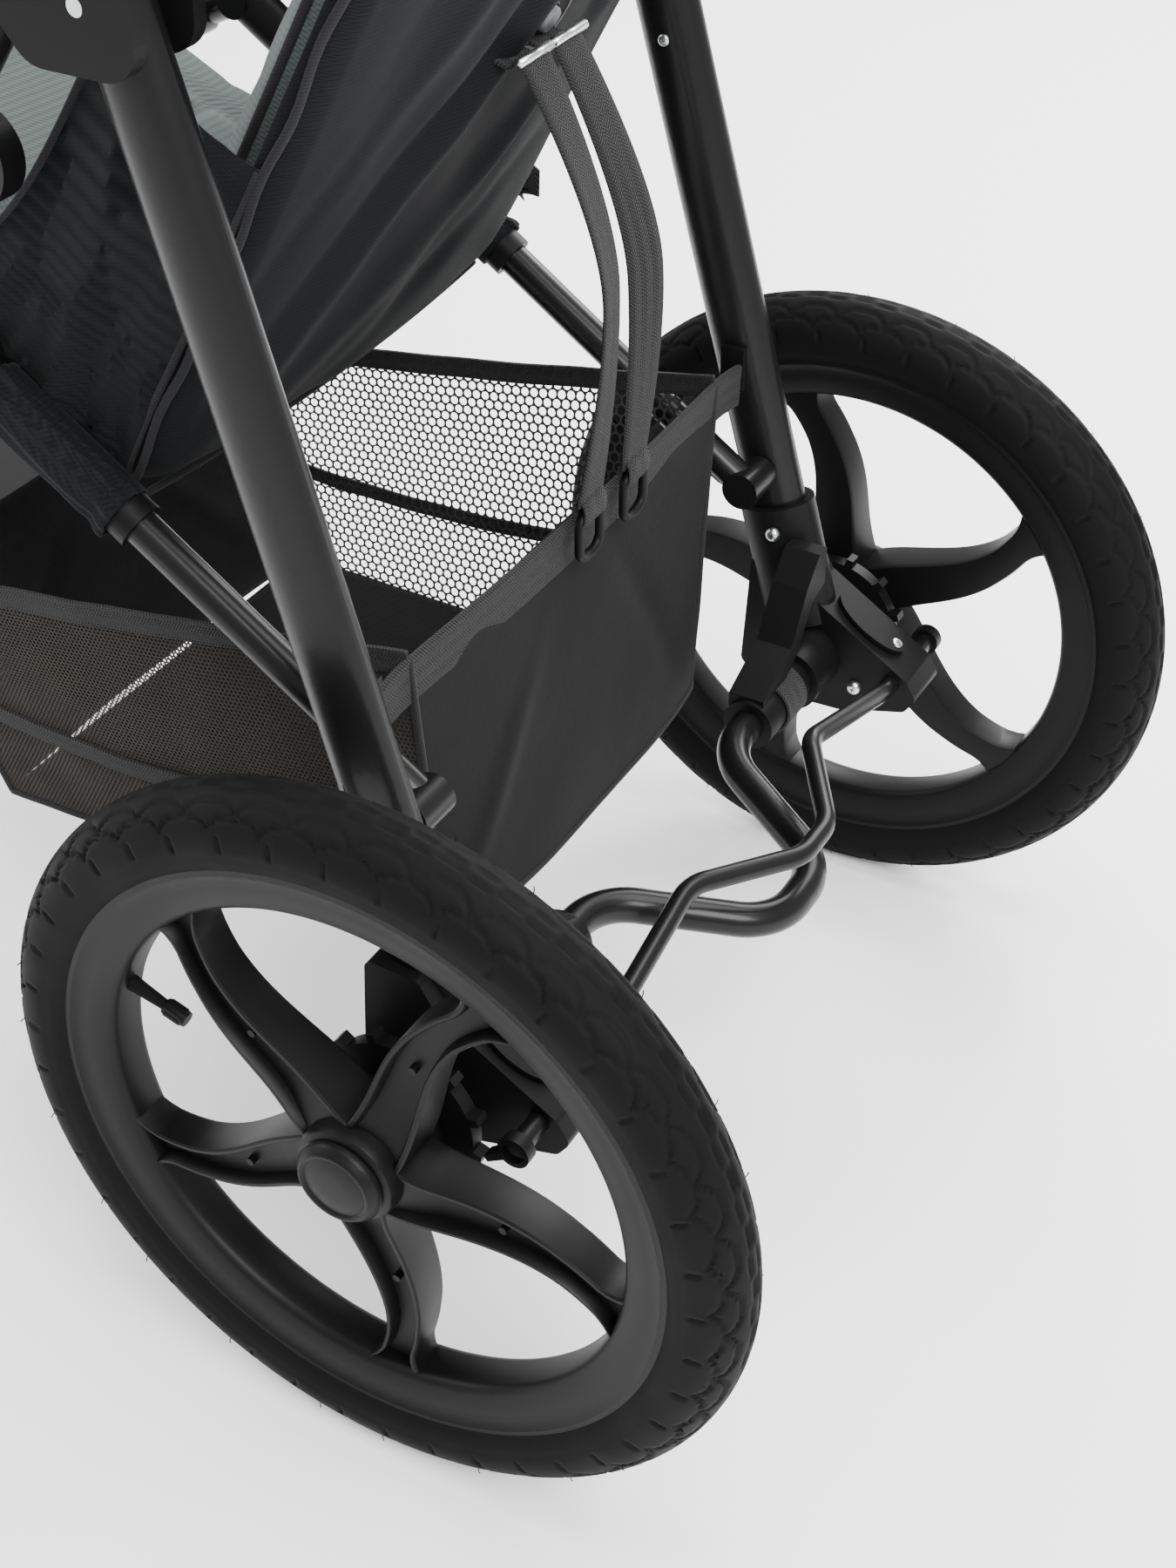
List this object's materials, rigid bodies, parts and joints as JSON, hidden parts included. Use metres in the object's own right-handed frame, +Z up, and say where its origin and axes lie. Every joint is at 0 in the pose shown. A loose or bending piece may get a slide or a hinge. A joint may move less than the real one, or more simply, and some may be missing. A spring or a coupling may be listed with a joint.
{
  "type": "baby stroller",
  "caption": "Three-wheeled baby stroller with large rear wheels, folding rear legs, reclining seat, canopy, foot brake and under-seat basket.",
  "frame": {"origin": "on the floor under the middle of the bounding box", "axes": "+Z up, -Y the way the stroller rolls forward, +X its own left side"},
  "size_m": [0.6124, 1.0544, 1.1166],
  "materials": {
    "black_tube": "satin black powder coat",
    "black_plastic": "fine-grained moulded plastic",
    "rim_plastic": "fine-grained moulded plastic",
    "zinc": "bright zinc plate",
    "black_steel": "black zinc plate",
    "tyre": "matt tread rubber",
    "foam": "closed-cell foam",
    "seat_cloth": "black twill",
    "pad_cloth": "grey-green quilted cloth",
    "canopy_cloth": "black twill",
    "mesh_cloth": "open hexagonal mesh with webbing edges",
    "webbing": "ribbed webbing",
    "board": "hidden stiffening board",
    "button": "smooth plastic"
  },
  "bodies": {
    "front_frame": {"front_tube_left": "black_tube", "front_tube_right": "black_tube", "knuckle_outer_plates": "black_plastic", "knuckle_inner_plates": "black_plastic", "knuckle_bolts": "zinc", "swivel_housing": "black_plastic", "seat_crossbar": "black_tube", "seat_base_cover": "pad_cloth", "seat_wing_left": "seat_cloth", "seat_wing_right": "seat_cloth", "canopy_rear_bow": "black_steel", "canopy_fabric": "canopy_cloth", "basket": "mesh_cloth", "basket_tabs": "webbing", "footrest": "black_tube"},
    "rear_frame": {"leg_left": "black_tube", "leg_right": "black_tube", "housing_left": "black_plastic", "housing_right": "black_plastic", "housing_covers": "black_plastic", "axle_tube": "black_tube", "axle_bolts": "zinc", "housing_screws": "zinc", "basket_clips": "black_plastic"},
    "strut_sleeves": {"strut_sleeve_left": "black_plastic", "strut_sleeve_right": "black_plastic"},
    "strut_tubes": {"strut_tube_left": "black_tube", "strut_tube_right": "black_tube"},
    "handle": {"handle_tube": "black_tube", "handle_grip": "foam"},
    "lock_sleeve_left": {"lock_sleeve_left": "black_plastic"},
    "lock_sleeve_right": {"lock_sleeve_right": "black_plastic"},
    "canopy_front": {"canopy_front_bow": "black_steel"},
    "canopy_middle": {"canopy_middle_bow": "black_steel"},
    "rear_wheel_left": {"rear_left_tyre": "tyre", "rear_left_rim": "rim_plastic", "rear_left_brake_ring": "black_plastic", "rear_left_hub_cap": "black_plastic"},
    "rear_wheel_right": {"rear_right_tyre": "tyre", "rear_right_rim": "rim_plastic", "rear_right_brake_ring": "black_plastic", "rear_right_hub_cap": "black_plastic"},
    "fork": {"front_fork": "black_plastic", "front_axle": "zinc"},
    "front_wheel": {"front_tyre": "tyre", "front_rim": "rim_plastic"},
    "swivel_knob": {"swivel_knob": "black_plastic"},
    "brake_bar": {"brake_bar": "black_tube", "brake_pawls": "black_plastic"},
    "backrest": {"backrest_board": "board", "backrest_cover": "seat_cloth", "harness_straps": "webbing", "harness_buckle": "black_plastic", "recline_buckle": "black_plastic", "recline_strap_left": "webbing", "recline_strap_right": "webbing", "strap_rings": "black_plastic"},
    "buckle_button": {"buckle_button": "button"},
    "recline_button": {"recline_button": "button"},
    "bumper_bar": {"bumper_bar": "black_tube", "bumper_foam": "foam"}
  },
  "joints": [
    {"name": "leg_fold", "type": "hinge", "parent": "front_frame", "child": "rear_frame", "pos_m": [0, 0.19349, 0.694], "axis": [-1, 0, 0], "range_deg": [0, 35], "deforming": ["basket", "basket_tabs", "seat_wing_left", "seat_wing_right"]},
    {"name": "strut_swing", "type": "hinge", "parent": "front_frame", "child": "strut_sleeves", "pos_m": [0, -0.02975, 0.548], "axis": [-1, 0, 0], "range_deg": [0, 30.5], "deforming": ["seat_wing_left", "seat_wing_right"]},
    {"name": "strut_telescope", "type": "slide", "parent": "strut_sleeves", "child": "strut_tubes", "axis": [0, -0.8235, 0.5674], "range_m": [0, 0.159]},
    {"name": "handle_fold", "type": "hinge", "parent": "front_frame", "child": "handle", "pos_m": [0, 0.19325, 0.776], "axis": [1, 0, 0], "range_deg": [0, 135]},
    {"name": "lock_sleeve_left_slide", "type": "slide", "parent": "handle", "child": "lock_sleeve_left", "axis": [0, 0.5878, 0.809], "range_m": [0, 0.012], "stiffness_N_per_m": 400},
    {"name": "lock_sleeve_right_slide", "type": "slide", "parent": "handle", "child": "lock_sleeve_right", "axis": [0, 0.5878, 0.809], "range_m": [0, 0.012], "stiffness_N_per_m": 400},
    {"name": "canopy_fold", "type": "hinge", "parent": "front_frame", "child": "canopy_front", "pos_m": [0, 0.19325, 0.776], "axis": [1, 0, 0], "range_deg": [-75, 0], "deforming": ["canopy_fabric"]},
    {"name": "canopy_middle_fold", "type": "hinge", "parent": "front_frame", "child": "canopy_middle", "pos_m": [0, 0.19325, 0.776], "axis": [1, 0, 0], "range_deg": [-37.5, 0], "deforming": ["canopy_fabric"]},
    {"name": "rear_wheel_left_spin", "type": "hinge", "parent": "rear_frame", "child": "rear_wheel_left", "pos_m": [0.273, 0.32725, 0.2], "axis": [1, 0, 0], "continuous": true},
    {"name": "rear_wheel_right_spin", "type": "hinge", "parent": "rear_frame", "child": "rear_wheel_right", "pos_m": [-0.273, 0.32725, 0.2], "axis": [1, 0, 0], "continuous": true},
    {"name": "front_swivel", "type": "hinge", "parent": "front_frame", "child": "fork", "pos_m": [0, -0.41975, 0.34], "axis": [0, 0, 1], "continuous": true},
    {"name": "front_wheel_spin", "type": "hinge", "parent": "fork", "child": "front_wheel", "pos_m": [0, -0.37475, 0.1525], "axis": [1, 0, 0], "continuous": true},
    {"name": "swivel_knob_slide", "type": "slide", "parent": "front_frame", "child": "swivel_knob", "axis": [0, 0, 1], "range_m": [0, 0.01]},
    {"name": "brake_press", "type": "hinge", "parent": "rear_frame", "child": "brake_bar", "pos_m": [0, 0.38925, 0.203], "axis": [1, 0, 0], "range_deg": [-33, 0]},
    {"name": "recline", "type": "hinge", "parent": "front_frame", "child": "backrest", "pos_m": [0, 0.13125, 0.44], "axis": [1, 0, 0], "range_deg": [-32, 0], "deforming": ["seat_wing_left", "seat_wing_right", "recline_strap_left", "recline_strap_right"]},
    {"name": "harness_button_press", "type": "slide", "parent": "backrest", "child": "buckle_button", "axis": [0, 0.8746, -0.4848], "range_m": [0, 0.002], "stiffness_N_per_m": 600},
    {"name": "recline_button_press", "type": "slide", "parent": "backrest", "child": "recline_button", "axis": [0, -0.8746, 0.4848], "range_m": [0, 0.002], "stiffness_N_per_m": 600},
    {"name": "bumper_swing", "type": "hinge", "parent": "front_frame", "child": "bumper_bar", "pos_m": [0, 0.08725, 0.6], "axis": [1, 0, 0], "range_deg": [-70, 0]}
  ],
  "couplings": [
    {"joint": "strut_swing", "follows": "leg_fold", "ratio": 0.87},
    {"joint": "strut_telescope", "follows": "leg_fold", "m_per_rad": 0.26},
    {"joint": "canopy_middle_fold", "follows": "canopy_fold", "ratio": 0.5}
  ]
}
